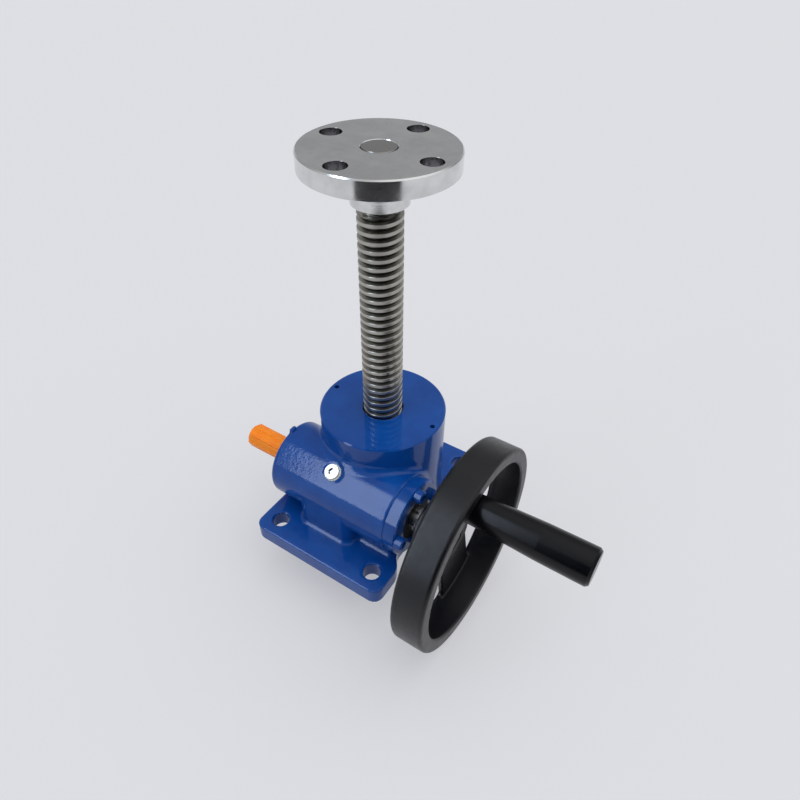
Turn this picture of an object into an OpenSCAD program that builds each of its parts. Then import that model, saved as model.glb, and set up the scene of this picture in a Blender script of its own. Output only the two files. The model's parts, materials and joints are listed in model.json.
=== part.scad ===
// Worm screw jack with a hand wheel, 25 kN size.
// Origin: lifting-screw axis on the underside of the base. +Z up, +X along the worm shaft to the hand wheel.
// Shown with the lifting screw fully raised. All sizes in millimetres.

/* [Lifting screw] */
// Outside diameter of the trapezoidal lifting thread
screw_d = 30; // [28:0.5:30]
// Pitch of the single-start right-hand lifting thread
screw_pitch = 6; // [5:1:6]
// Height of the shoulder that the head flange sits on, screw raised
screw_shoulder_z = 262; // [200:1:300]
// Height of the lower end of the screw, screw raised
screw_end_z = 2; // [1:0.5:4]
// Radial running clearance in the nut and guide bush
running_gap = 0.05; // [0.02:0.01:0.08]

/* [Head flange] */
// Flange diameter
flange_d = 98; // [90:1:110]
// Flange thickness
flange_t = 12; // [10:1:16]
// Pitch circle diameter of the four bolt holes
flange_pcd = 75; // [70:1:76]
// Bolt hole diameter
flange_hole_d = 14; // [9:0.5:14]
// Angle of the first bolt hole
flange_turn = -4.5; // [-45:0.5:45]
// Hub diameter under the flange
flange_hub_d = 37; // [36:1:46]
// Height from the screw shoulder to the top face
flange_h = 37; // [32:1:45]

/* [Housing] */
// Base width along the worm shaft
base_w = 120; // [116:1:130]
// Base length across the worm shaft
base_l = 165; // [160:1:175]
// Distance that the base centre lies in front of the screw axis
base_shift = 15; // [12:1:18]
// Base plate thickness
base_t = 14; // [12:1:15]
// Corner radius of the base plate
base_corner_r = 8; // [4:1:12]
// Bolt hole spacing along the worm shaft
base_hole_x = 90; // [86:1:92]
// Bolt hole spacing across the worm shaft
base_hole_y = 135; // [132:1:138]
// Base bolt hole diameter
base_hole_d = 13.5; // [11:0.5:14]
// Diameter of the upright boss round the lifting screw
boss_d = 98; // [96:1:104]
// Height of the finished top face, bearing cover included
boss_top_z = 98.5; // [96:0.5:104]
// Outside radius of the worm barrel
barrel_r = 31.2; // [30.2:0.5:33.2]
// Left end of the worm barrel
barrel_left_x = -59; // [-60:0.5:-56]
// Joint face between the barrel and its end cover
cover_joint_x = 48; // [48:0.5:50]
// Thickness of the worm end cover
cover_t = 10; // [9:0.5:12]
// Radius of the cast fillets at the foot of the walls
foot_fillet_r = 3; // [2:1:9]

/* [Worm gear] */
// Module of the worm gear
gear_module = 2.5; // [2.5]
// Number of teeth on the worm wheel
wheel_teeth = 24; // [24]
// Pitch diameter of the worm
worm_pitch_d = 24; // [24]
// Height of the worm shaft axis over the base
worm_z = 45; // [45]
// Face width of the worm wheel
wheel_face = 22; // [18:1:22]
// Pressure angle of the worm thread
pressure_angle = 20; // [20]
// Backlash on each flank of the worm thread
backlash = 0.2; // [0.15:0.05:0.3]
// Length of the worm thread
worm_l = 44; // [38:1:48]

/* [Worm shaft and cap] */
// Diameter of the shaft ends
shaft_d = 16; // [16]
// Diameter of the bearing and seal journals
journal_d = 20; // [20]
// Distance from the screw axis to the free end of the worm shaft
shaft_left = 102; // [100:1:110]
// Distance from the screw axis to the hand wheel end of the worm shaft
shaft_right = 86; // [84:1:86]
// Number of ribs round the plastic shaft cap
cap_ribs = 8; // [6:1:16]

/* [Hand wheel] */
// Hand wheel diameter
handwheel_d = 160; // [150:1:170]
// Width of the rim along the shaft
rim_w = 24.5; // [20:0.5:26]
// Radial thickness of the rim
rim_t = 11; // [8:0.5:12]
// Front face of the rim along X
rim_front_x = 112; // [110:0.5:113]
// Turn of the arm that carries the handle, from +Y towards +Z
handle_turn = 100; // [0:1:359]
// Distance from the shaft axis to the handle axis
handle_reach = 56.4; // [52:0.2:60]
// Length of the revolving grip
grip_l = 95; // [80:1:100]
// Diameter of the grip at the wheel
grip_d0 = 21; // [20:0.5:24]
// Largest diameter of the grip
grip_d1 = 26; // [24:0.5:28]

/* [Hidden] */
$fn = 96;
eps = 0.01;

worm_y = -(gear_module * wheel_teeth + worm_pitch_d) / 2;
wheel_pitch_r = gear_module * wheel_teeth / 2;
worm_lead = PI * gear_module;
lead_angle = atan(worm_lead / (PI * worm_pitch_d));
worm_tip_r = worm_pitch_d / 2 + gear_module - backlash;
worm_root_r = worm_pitch_d / 2 - 1.2 * gear_module;

// Heights of the stack on the screw axis, from the bottom up
bottom_bore_r = 22;
lower_seat_z = 20;
thrust_h = 13;
thrust_r_in = 20;
thrust_r_out = 30;
collar_z0 = lower_seat_z + thrust_h;
collar_z1 = 2 * worm_z - collar_z0;
upper_seat_z = collar_z1 + thrust_h;
chamber_r = 38;
cover_flange_t = 10;
cover_joint_z = boss_top_z - cover_flange_t;
cover_spigot_r = 40;
cover_skirt_z = 61;
nut_gap = 0.5;

// Worm shaft line
tunnel_r = 21;
tunnel_left_x = -45.5;
worm_bearing_w = 12;
seal_r = 17.5;
seal_w = 7;
cover_screw_pcd = 52;
plug_tilt = 31.5;
plug_x = -6;

// Hand wheel
rim_back_x = rim_front_x - rim_w;
arm_front_x = rim_back_x + 3.3;
arm_back_x = rim_back_x - 1.2;
hub_back_x = 66.5;
hub_front_x = 92.5;
hub_seat_x = shaft_right + 0.5;
hub_r = 21;
handle_y = worm_y + handle_reach * cos(handle_turn);
handle_z = worm_z + handle_reach * sin(handle_turn);
handle_boss_x = 95;
grip_x = handle_boss_x + 2;

// ---------- shared shapes ----------

// A child drawn along +Z is laid along +X from x, on the line through (y, z)
module along_x(x, y = worm_y, z = worm_z) translate([x, y, z]) rotate([0, 90, 0]) children();

module ring(r_out, r_in, h) difference() {
    cylinder(r = r_out, h = h);
    translate([0, 0, -1]) cylinder(r = r_in, h = h + 2);
}

module around(count, r, turn = 0)
    for (i = [0 : count - 1]) rotate(turn + i * 360 / count) translate([r, 0, 0]) children();

// Head above z = 0 with a hexagon socket, shank below
module cap_screw(d, l) difference() {
    union() {
        translate([0, 0, -l]) cylinder(d = d, h = l + eps);
        cylinder(d = 1.65 * d, h = 0.9 * d);
        translate([0, 0, 0.9 * d - eps]) cylinder(d1 = 1.65 * d, d2 = 1.5 * d, h = 0.1 * d);
    }
    translate([0, 0, 0.45 * d]) cylinder(d = 0.96 * d, h = d, $fn = 6);
}

// Headless screw from z = 0 down, with a hexagon socket
module set_screw(d, l) difference() {
    translate([0, 0, -l]) cylinder(d = d, h = l);
    translate([0, 0, -0.5 * d]) cylinder(d = 0.6 * d, h = d, $fn = 6);
}

module rounded_plan(w, l, r) {
    square([w - 2 * r, l], center = true);
    square([w, l - 2 * r], center = true);
    for (x = [-1, 1], y = [-1, 1]) translate([x * (w / 2 - r), y * (l / 2 - r)]) circle(r);
}

module at_base_holes() for (x = [-1, 1], y = [-1, 1])
    translate([x * base_hole_x / 2, y * base_hole_y / 2 - base_shift, 0]) children();

// ---------- housing and its covers ----------

// Base plan with a relief on both sides between the bolt lugs
module base_plan() difference() {
    translate([0, -base_shift]) rounded_plan(base_w, base_l, base_corner_r);
    half = base_w / 2;
    polygon([[half + 1, -69.5], [half - 9.5, -59], [half - 9.5, 24], [half + 1, 34.5]]);
    polygon([[-half - 1, -46], [-half + 9.5, -35.5], [-half + 9.5, 24], [-half - 1, 34.5]]);
}

// Concave quarter round between a wall and the plate, as a profile in the corner at the origin
module fillet_profile(r) difference() {
    translate([-1, -1]) square(r + 1);
    translate([r, r]) circle(r);
}

module barrel_foot() {
    foot_left = -34;
    corner = 10;
    front = worm_y - barrel_r;
    linear_extrude(worm_z) {
        translate([foot_left + corner, front]) square([cover_joint_x - foot_left - corner, 2 * barrel_r]);
        translate([foot_left, front + corner]) square([2 * corner, 2 * barrel_r - corner]);
        translate([foot_left + corner, front + corner]) circle(corner);
    }
    translate([cover_joint_x, front, base_t]) rotate([90, 0, -90])
        linear_extrude(cover_joint_x - foot_left - corner) fillet_profile(foot_fillet_r);
}

module housing_casting() {
    linear_extrude(base_t) base_plan();
    cylinder(d = boss_d, h = cover_joint_z);
    translate([0, 0, base_t]) rotate_extrude() translate([boss_d / 2, 0]) fillet_profile(foot_fillet_r);
    along_x(barrel_left_x) cylinder(r = barrel_r, h = cover_joint_x - barrel_left_x);
    barrel_foot();
    // cast lug on top of the free end of the barrel
    translate([barrel_left_x, worm_y - 4, worm_z]) cube([3, 6, barrel_r + 2.3]);
}

module at_plug() translate([plug_x, worm_y, worm_z]) rotate([plug_tilt, 0, 0])
    translate([0, 0, barrel_r]) children();

module housing() color("royalblue") difference() {
    housing_casting();
    // screw way, lower bearing seat, gear chamber and cover thread
    translate([0, 0, -1]) cylinder(r = bottom_bore_r, h = lower_seat_z + 2);
    translate([0, 0, lower_seat_z]) cylinder(r = thrust_r_out, h = thrust_h + 1);
    translate([0, 0, collar_z0]) cylinder(r = chamber_r, h = cover_joint_z);
    translate([0, 0, cover_skirt_z - 1]) cylinder(r = cover_spigot_r, h = cover_joint_z);
    // worm tunnel, shaft way and left seal seat
    along_x(tunnel_left_x) cylinder(r = tunnel_r, h = 100);
    along_x(barrel_left_x - 1) cylinder(r = 15, h = 15);
    along_x(barrel_left_x - 1) cylinder(r = seal_r, h = seal_w + 1);
    // fastener holes
    translate([0, 0, -1]) at_base_holes() cylinder(d = base_hole_d, h = base_t + 2);
    along_x(cover_joint_x - 14) around(4, cover_screw_pcd / 2) cylinder(r = 3.02, h = 20);
    at_plug() translate([0, 0, -12]) cylinder(r = 5.02, h = 20);
    at_plug() translate([0, 0, -0.5]) cylinder(r = 8, h = 8);
    translate([0, 0, 80]) rotate([-90, 0, 0]) cylinder(r = 3.02, h = 60);
}

module top_bearing_cover() color("royalblue") difference() {
    union() {
        translate([0, 0, cover_joint_z]) cylinder(d = boss_d, h = cover_flange_t - 1);
        translate([0, 0, boss_top_z - 1 - eps]) cylinder(r1 = boss_d / 2, r2 = boss_d / 2 - 1, h = 1 + eps);
        translate([0, 0, cover_skirt_z])
            cylinder(r = cover_spigot_r, h = cover_joint_z - cover_skirt_z + eps);
    }
    // guide bush bore, wiper recess and screw clearance
    translate([0, 0, 50]) cylinder(r = 19, h = 38);
    translate([0, 0, 86]) cylinder(r = 22, h = 8);
    translate([0, 0, 50]) cylinder(r = 16, h = 60);
    translate([0, 0, cover_skirt_z - 1])
        cylinder(r = thrust_r_out + 0.2, h = upper_seat_z - cover_skirt_z + 1);
    // spanner holes
    around(2, 44, 2) translate([0, 0, boss_top_z - 6]) cylinder(d = 4, h = 8);
    // dimple for the lock screw
    translate([0, 0, 80]) rotate([-90, 0, 0]) translate([0, 0, 38]) cylinder(r = 3.02, h = 5);
}

module cover_lock_screw() color("dimgray")
    translate([0, 0, 80]) rotate([-90, 0, 0]) translate([0, 0, 48]) set_screw(6, 9.5);

module upper_guide_bush() color("goldenrod")
    translate([0, 0, upper_seat_z]) ring(19, screw_d / 2 + running_gap, 14);

module screw_wiper() color("dimgray")
    translate([0, 0, 86]) ring(22, screw_d / 2 + running_gap, 8);

// ---------- thrust bearings on the screw axis ----------

washer_t = 4;
thrust_ball_r = 3;
thrust_pitch_r = (thrust_r_in + thrust_r_out) / 2;
thrust_ball_count = 20;
groove_r = 3.2;

// Washer from z = 0 up, with its ball groove in the top face
module thrust_washer(r_out, r_in) difference() {
    ring(r_out, r_in, washer_t);
    rotate_extrude() translate([thrust_pitch_r, thrust_h / 2]) circle(groove_r);
}

module thrust_housing_washers() color("silver") {
    translate([0, 0, lower_seat_z]) thrust_washer(thrust_r_out, thrust_r_in + 0.5);
    translate([0, 0, upper_seat_z]) mirror([0, 0, 1]) thrust_washer(thrust_r_out, thrust_r_in + 0.5);
}

module thrust_shaft_washers() color("silver") {
    translate([0, 0, collar_z0]) mirror([0, 0, 1]) thrust_washer(thrust_r_out - 0.5, thrust_r_in);
    translate([0, 0, collar_z1]) thrust_washer(thrust_r_out - 0.5, thrust_r_in);
}

thrust_mid_z = [lower_seat_z + thrust_h / 2, collar_z1 + thrust_h / 2];

module thrust_balls() color("lightgray")
    for (z = thrust_mid_z) translate([0, 0, z])
        around(thrust_ball_count, thrust_pitch_r) sphere(thrust_ball_r);

module thrust_ball_cages() color("goldenrod")
    for (z = thrust_mid_z) translate([0, 0, z - 1]) difference() {
        ring(thrust_r_out - 1, thrust_r_in + 1, 2);
        around(thrust_ball_count, thrust_pitch_r)
            translate([0, 0, -1]) cylinder(r = thrust_ball_r + 0.2, h = 4);
    }

// ---------- worm gear ----------

function involute(a) = tan(a) - a * PI / 180;

// Half width of the space between two wheel teeth at radius r: half a pitch less the involute tooth
base_circle_r = wheel_pitch_r * cos(pressure_angle);
function space_half(r) =
    let (a = r > base_circle_r ? acos(base_circle_r / r) : 0,
         tooth = PI / (2 * wheel_teeth) + involute(pressure_angle) - involute(a))
    r * (PI / wheel_teeth - tooth);

wheel_tip_r = wheel_pitch_r + gear_module;
wheel_root_r = wheel_pitch_r - 1.2 * gear_module;
space_radii = [wheel_root_r, base_circle_r, wheel_pitch_r, wheel_pitch_r + gear_module / 2, wheel_tip_r,
    wheel_tip_r + 1];

// One tooth space on the -Y side, tilted by the lead angle as the worm thread is
module tooth_space() translate([0, 0, worm_z]) rotate([0, lead_angle, 0])
    translate([0, 0, -wheel_face]) linear_extrude(2 * wheel_face) polygon(concat(
        [for (r = space_radii) [space_half(min(r, wheel_tip_r)), -r]],
        [for (i = [len(space_radii) - 1 : -1 : 0])
            [-space_half(min(space_radii[i], wheel_tip_r)), -space_radii[i]]]));

module lifting_nut_wheel() color("goldenrod") difference() {
    union() {
        translate([0, 0, lower_seat_z + nut_gap])
            cylinder(r = thrust_r_in, h = upper_seat_z - lower_seat_z - 2 * nut_gap);
        translate([0, 0, collar_z0]) cylinder(r = 26, h = collar_z1 - collar_z0);
        difference() {
            translate([0, 0, worm_z - wheel_face / 2]) cylinder(r = wheel_tip_r, h = wheel_face);
            for (i = [0 : wheel_teeth - 1]) rotate(i * 360 / wheel_teeth) tooth_space();
        }
    }
    cylinder(r = screw_d / 2 + running_gap, h = 100);
}

// Half width of the worm thread at radius r, along the axis
function thread_half(r) = worm_lead / 4 - backlash - (r - worm_pitch_d / 2) * tan(pressure_angle);

// Radius of the worm at an angle from the crest: crest arc, straight-sided flank, root arc
function worm_radius(a) =
    let (off = abs(a) / 360 * worm_lead, crest = thread_half(worm_tip_r), root = thread_half(worm_root_r))
    off <= crest ? worm_tip_r : off >= root ? worm_root_r
    : worm_tip_r - (worm_tip_r - worm_root_r) * (off - crest) / (root - crest);

// Right-hand worm drawn along +Z: its cross-section turned once for each lead
module worm_thread() {
    crest_a = 360 * thread_half(worm_tip_r) / worm_lead;
    root_a = 360 * thread_half(worm_root_r) / worm_lead;
    half = [for (i = [0 : 2]) i * crest_a / 3, for (i = [0 : 3]) crest_a + i * (root_a - crest_a) / 4,
        for (i = [0 : 2]) root_a + i * (180 - root_a) / 3];
    angles = concat(half, [180], [for (i = [len(half) - 1 : -1 : 1]) -half[i]]);
    turns = worm_l / worm_lead;
    rotate(-180 * turns)
        linear_extrude(worm_l, center = true, twist = -360 * turns, slices = ceil(18 * turns), $fn = 8)
        polygon([for (a = angles) worm_radius(a) * [cos(a), sin(a)]]);
}

// Worm shaft steps as [start, end, radius], from the free end to the hand wheel
shaft_steps = [
    [-shaft_left + 1, -62, shaft_d / 2], [-62, -33.5, journal_d / 2], [-33.5, -28, 13],
    [-28, -worm_l / 2 + eps, worm_root_r - 0.2], [worm_l / 2 - eps, 28, worm_root_r - 0.2],
    [28, 33.5, 13], [33.5, 62, journal_d / 2], [62, shaft_right - 1, shaft_d / 2]];

module worm_shaft() color("silver") difference() {
    union() {
        for (s = shaft_steps) along_x(s[0]) cylinder(r = s[2], h = s[1] - s[0]);
        along_x(-shaft_left) cylinder(r1 = shaft_d / 2 - 1, r2 = shaft_d / 2, h = 1);
        along_x(shaft_right - 1) cylinder(r1 = shaft_d / 2, r2 = shaft_d / 2 - 1, h = 1);
        // thread crest faces the wheel at x = 0
        translate([0, worm_y, worm_z]) rotate([90, 0, 90]) worm_thread();
    }
    // keyways at both ends and the tapped hole for the wheel screw
    translate([2 - shaft_left, worm_y - 2.5, worm_z + 5]) cube([30, 5, 5]);
    translate([hub_back_x + 1, worm_y - 2.52, worm_z + 5]) cube([30, 5.04, 5]);
    along_x(shaft_right - 20) cylinder(r = 3.02, h = 30);
}

// ---------- worm shaft bearings, seals and cover ----------

bearing_x = [tunnel_left_x, -tunnel_left_x - worm_bearing_w];
bearing_mid = worm_bearing_w / 2;
worm_ball_r = 3.1;
worm_ball_pitch_r = 15.5;
worm_ball_count = 9;

// Race turned from a ring, grooved for the balls
module race(r_out, r_in) difference() {
    ring(r_out, r_in, worm_bearing_w);
    translate([0, 0, bearing_mid])
        rotate_extrude() translate([worm_ball_pitch_r, 0]) circle(worm_ball_r + 0.1);
}

module worm_bearing_outer_rings() color("silver")
    for (x = bearing_x) along_x(x) race(tunnel_r, 17.5);

module worm_bearing_inner_rings() color("silver")
    for (x = bearing_x) along_x(x) race(13.5, journal_d / 2);

module worm_bearing_balls() color("lightgray")
    for (x = bearing_x) along_x(x + bearing_mid)
        around(worm_ball_count, worm_ball_pitch_r) sphere(worm_ball_r);

module worm_bearing_cages() color("goldenrod")
    for (x = bearing_x) along_x(x + bearing_mid - 4) difference() {
        ring(16.6, 14.4, 8);
        translate([0, 0, 4]) around(worm_ball_count, worm_ball_pitch_r) rotate([0, 90, 0])
            cylinder(r = worm_ball_r + 0.2, h = 4, center = true);
    }

module worm_oil_seals() color("dimgray") {
    along_x(barrel_left_x + 0.2) ring(seal_r, journal_d / 2 + running_gap, seal_w - 0.2);
    along_x(cover_joint_x + cover_t - seal_w) ring(seal_r, journal_d / 2 + running_gap, seal_w - 0.2);
}

cover_r = barrel_r - 0.7;
module worm_end_cover() color("royalblue") along_x(cover_joint_x) difference() {
    union() {
        cylinder(r = cover_r, h = cover_t - 1);
        translate([0, 0, cover_t - 1 - eps]) cylinder(r1 = cover_r, r2 = cover_r - 1, h = 1 + eps);
        translate([0, 0, -2.5]) cylinder(r = tunnel_r, h = 3);
    }
    translate([0, 0, -5]) cylinder(r = 15, h = 10);
    translate([0, 0, cover_t - seal_w]) cylinder(r = seal_r, h = seal_w + 1);
    translate([0, 0, -5]) around(4, cover_screw_pcd / 2) cylinder(r = 3.02, h = 30);
}

module worm_cover_screws() color("midnightblue")
    along_x(cover_joint_x + cover_t) around(4, cover_screw_pcd / 2) cap_screw(6, 18);

module oil_plug() color("silver") at_plug() translate([0, 0, 1]) difference() {
    union() {
        translate([0, 0, -11]) cylinder(r = 5, h = 11 + eps);
        cylinder(r = 5.6, h = 2.4);
    }
    translate([0, 0, 0.4]) cylinder(r = 2.9, h = 4, $fn = 6);
}

module oil_plug_washer() color("white") at_plug() translate([0, 0, -0.5]) ring(6.5, 5.02, 1.5);

// ---------- lifting screw and head ----------

stub_r = 11;
// journal turned down to the core of the trapezoidal thread
stop_journal_r = (screw_d - screw_pitch) / 2 - 0.5;
stop_z = screw_end_z + 2;
stop_t = 8;
pin_r = 2.5;

module stop_pin_hole() translate([0, 0, stop_z + stop_t / 2]) rotate([90, 0, 0])
    cylinder(r = pin_r + 0.02, h = 60, center = true);

// The thread is left as its outside cylinder
module lifting_screw() color("slategray") difference() {
    union() {
        translate([0, 0, screw_end_z + 12]) cylinder(d1 = screw_d - 4, d2 = screw_d, h = 2);
        translate([0, 0, screw_end_z + 14 - eps])
            cylinder(d = screw_d, h = screw_shoulder_z - screw_end_z - 14 + eps);
        translate([0, 0, screw_end_z]) cylinder(r = stop_journal_r, h = 14);
        translate([0, 0, screw_shoulder_z - eps]) cylinder(r = stub_r, h = flange_h - 1);
        translate([0, 0, screw_shoulder_z + flange_h - 1 - 2 * eps])
            cylinder(r1 = stub_r, r2 = stub_r - 1, h = 1);
    }
    stop_pin_hole();
    translate([0, 0, screw_shoulder_z + flange_h - 4]) cylinder(d1 = 0.5, d2 = 6, h = 5);
}

module screw_stop_ring() color("dimgray") difference() {
    translate([0, 0, stop_z]) ring(20, stop_journal_r + 0.02, stop_t);
    stop_pin_hole();
}

module stop_ring_pin() color("silver") translate([0, 19, stop_z + stop_t / 2]) rotate([90, 0, 0])
    cylinder(r = pin_r, h = 38);

// Hub rounded off at the screw, a fillet under the disc and small edge chamfers, turned in one setting
module flange_blank() {
    top = screw_shoulder_z + flange_h;
    hub_r1 = flange_hub_d / 2;
    disc_r = flange_d / 2;
    under = top - flange_t;
    rotate_extrude() difference() {
        polygon([
            [stub_r + 0.02, screw_shoulder_z], [hub_r1 - 3.5, screw_shoulder_z],
            [hub_r1 - 1, screw_shoulder_z + 1], [hub_r1, screw_shoulder_z + 3.5],
            [hub_r1, under - 3], [hub_r1 + 3, under],
            [disc_r - 0.4, under], [disc_r, under + 0.4], [disc_r, top - 0.8], [disc_r - 0.8, top],
            [stub_r + 0.6, top], [stub_r + 0.02, top - 0.6]]);
        translate([hub_r1 + 3, under - 3]) circle(3);
    }
}

module head_flange() color("lightgray") difference() {
    flange_blank();
    translate([0, 0, screw_shoulder_z]) around(4, flange_pcd / 2, flange_turn)
        cylinder(d = flange_hole_d, h = flange_h + 1);
    translate([0, 0, screw_shoulder_z + 14]) rotate([0, 90, flange_turn + 45]) cylinder(r = 3.02, h = 40);
}

module flange_set_screw() color("dimgray")
    translate([0, 0, screw_shoulder_z + 14]) rotate([0, 90, flange_turn + 45])
        translate([0, 0, flange_hub_d / 2 - 0.6]) set_screw(6, flange_hub_d / 2 - stub_r - 0.8);

// ---------- shaft cap ----------

// Push-on protector with lengthwise ribs, closed at the end
module shaft_cap() color("darkorange") along_x(-shaft_left - 2.5) difference() {
    union() {
        cylinder(r1 = 8.6, r2 = 9.4, h = 1);
        translate([0, 0, 1 - eps]) cylinder(r = 9.4, h = 40.5 + eps);
        around(cap_ribs, 8.9) translate([0, 0, 1]) cylinder(r = 1.2, h = 38.5);
    }
    translate([0, 0, 2]) cylinder(r = shaft_d / 2 + running_gap, h = 50);
}

// ---------- hand wheel ----------

rim_r = handwheel_d / 2;
rim_round = 2;

// Rim section: outer corners rounded, inner wall slightly flared to the front
module rim_section() {
    inner = rim_r - rim_t;
    translate([inner + 1, rim_back_x]) square([rim_t - 1 - rim_round, rim_w]);
    translate([rim_r - rim_round - 1, rim_back_x + rim_round]) square([rim_round + 1, rim_w - 2 * rim_round]);
    for (x = [rim_back_x + rim_round, rim_front_x - rim_round])
        translate([rim_r - rim_round, x]) circle(rim_round);
    polygon([[inner - 1, rim_back_x + 1], [inner + 2, rim_back_x], [inner + 2, rim_front_x],
        [inner + 1, rim_front_x], [inner, rim_front_x - 1]]);
}

// Two opposite arms, slightly wider at the rim, drawn along +Y and -Y of the wheel face
module arm_plan() {
    reach = rim_r - rim_t / 2;
    for (m = [0, 1]) mirror([0, m])
        polygon([[-17, 0], [17, 0], [19, 45], [20, reach], [-20, reach], [-19, 45]]);
}

// Child drawn in the wheel's own frame: z along +X, x axis turned from +Y towards +Z by handle_turn
module wheel_frame()
    translate([0, worm_y, worm_z]) rotate([handle_turn, 0, 0]) rotate([90, 0, 90]) children();

module handwheel() color("dimgray") difference() {
    wheel_frame() union() {
        rotate_extrude() rim_section();
        translate([0, 0, arm_back_x]) linear_extrude(arm_front_x - arm_back_x) rotate(-90) arm_plan();
        rotate_extrude() polygon([[0, hub_back_x], [hub_r, hub_back_x], [hub_r, hub_front_x - 1],
            [hub_r - 1, hub_front_x], [0, hub_front_x]]);
        translate([handle_reach, 0, arm_back_x]) cylinder(r = 13.5, h = handle_boss_x - arm_back_x);
    }
    along_x(0) cylinder(r = shaft_d / 2 + 0.01, h = 200);
    along_x(hub_seat_x) cylinder(r = 12.5, h = 20);
    translate([hub_back_x - 1, worm_y - 2.52, worm_z]) cube([hub_front_x - hub_back_x + 2, 5.04, 10.3]);
    along_x(0, handle_y, handle_z) cylinder(r = 4.02, h = 200);
}

module handwheel_key() color("silver")
    translate([hub_back_x + 1.02, worm_y - 2.5, worm_z + 5]) cube([18, 5, 5]);

module wheel_end_washer() color("dimgray") along_x(hub_seat_x) ring(12, 3.3, 3);

module wheel_end_screw() color("dimgray") along_x(hub_seat_x + 3) {
    translate([0, 0, -18]) cylinder(r = 3, h = 18 + eps);
    cylinder(r = 5.8, h = 4, $fn = 6);
}

// ---------- revolving handle ----------

spindle_end = grip_x + 78;
clip_x = grip_x + 74;

module handle_spindle() color("dimgray") {
    along_x(arm_back_x - 5.5, handle_y, handle_z) cylinder(r = 4, h = 18);
    along_x(handle_boss_x, handle_y, handle_z) cylinder(r = 8, h = 1.7);
    along_x(handle_boss_x, handle_y, handle_z) cylinder(r = 5, h = clip_x - handle_boss_x);
    along_x(clip_x - eps, handle_y, handle_z) cylinder(r = 4, h = 1.5 + 2 * eps);
    along_x(clip_x + 1.5, handle_y, handle_z) cylinder(r = 5, h = spindle_end - clip_x - 1.5);
}

module handle_nut() color("dimgray") along_x(arm_back_x - 5, handle_y, handle_z) difference() {
    cylinder(r = 7, h = 5, $fn = 6);
    translate([0, 0, -1]) cylinder(r = 4.02, h = 10);
}

module handle_clip() color("dimgray") along_x(clip_x + 0.1, handle_y, handle_z) difference() {
    cylinder(r = 6.5, h = 1.3);
    translate([0, 0, -1]) cylinder(r = 4.05, h = 4);
    translate([-2.5, 0, -1]) cube([5, 10, 4]);
}

// Turned grip, swelling towards its free end
module handle_grip() color("black") along_x(grip_x, handle_y, handle_z) difference() {
    rotate_extrude() polygon([[0, 0], [grip_d0 / 2 - 1, 0], [grip_d0 / 2, 1],
        [grip_d0 / 2 + 1, grip_l * 0.3], [grip_d0 / 2 + 2.2, grip_l * 0.62], [grip_d1 / 2, grip_l * 0.9],
        [grip_d1 / 2, grip_l - 2], [grip_d1 / 2 - 1.5, grip_l], [0, grip_l]]);
    translate([0, 0, -1]) cylinder(r = 5 + running_gap, h = 80.5);
    translate([0, 0, 72]) cylinder(r = 7.2, h = 7.5);
}

// ---------- one line per sub-part ----------

housing();
top_bearing_cover();
cover_lock_screw();
upper_guide_bush();
screw_wiper();
thrust_housing_washers();
thrust_shaft_washers();
thrust_ball_cages();
thrust_balls();
lifting_nut_wheel();
worm_shaft();
worm_bearing_outer_rings();
worm_bearing_inner_rings();
worm_bearing_balls();
worm_bearing_cages();
worm_oil_seals();
worm_end_cover();
worm_cover_screws();
oil_plug();
oil_plug_washer();
lifting_screw();
head_flange();
flange_set_screw();
screw_stop_ring();
stop_ring_pin();
shaft_cap();
handwheel();
handwheel_key();
wheel_end_washer();
wheel_end_screw();
handle_spindle();
handle_nut();
handle_clip();
handle_grip();
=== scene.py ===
import json
import math

import bmesh
import bpy
import numpy as np
from mathutils import Matrix, Vector


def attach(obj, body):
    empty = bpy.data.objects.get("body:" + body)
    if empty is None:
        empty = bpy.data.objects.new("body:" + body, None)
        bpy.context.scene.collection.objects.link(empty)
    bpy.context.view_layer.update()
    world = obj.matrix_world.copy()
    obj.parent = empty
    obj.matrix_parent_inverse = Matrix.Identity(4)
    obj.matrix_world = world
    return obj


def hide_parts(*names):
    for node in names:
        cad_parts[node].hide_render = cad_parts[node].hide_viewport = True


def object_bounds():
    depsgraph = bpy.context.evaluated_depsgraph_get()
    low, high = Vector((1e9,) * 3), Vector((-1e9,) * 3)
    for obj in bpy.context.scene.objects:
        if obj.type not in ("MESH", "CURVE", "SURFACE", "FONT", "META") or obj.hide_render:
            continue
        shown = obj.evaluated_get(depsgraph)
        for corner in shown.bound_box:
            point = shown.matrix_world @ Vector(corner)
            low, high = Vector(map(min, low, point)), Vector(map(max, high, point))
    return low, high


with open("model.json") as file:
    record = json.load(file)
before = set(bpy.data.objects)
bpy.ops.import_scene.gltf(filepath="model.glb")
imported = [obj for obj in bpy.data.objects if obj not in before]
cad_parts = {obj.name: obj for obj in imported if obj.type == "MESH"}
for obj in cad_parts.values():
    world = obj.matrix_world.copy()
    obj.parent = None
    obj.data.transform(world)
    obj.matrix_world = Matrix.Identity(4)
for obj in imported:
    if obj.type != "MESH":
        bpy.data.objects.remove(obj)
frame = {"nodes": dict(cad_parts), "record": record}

# A worm screw jack driven by a hand wheel. Most CAD nodes keep their shape and get a finish. Four are made again
# here, with the fillets, thread and broken edges that their CAD solids leave out: the housing, the hand wheel, the
# lifting screw and its head flange. Shapes are worked out in mm and become metres in mesh_of.
cad_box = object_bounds()
MM = 0.001

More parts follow.
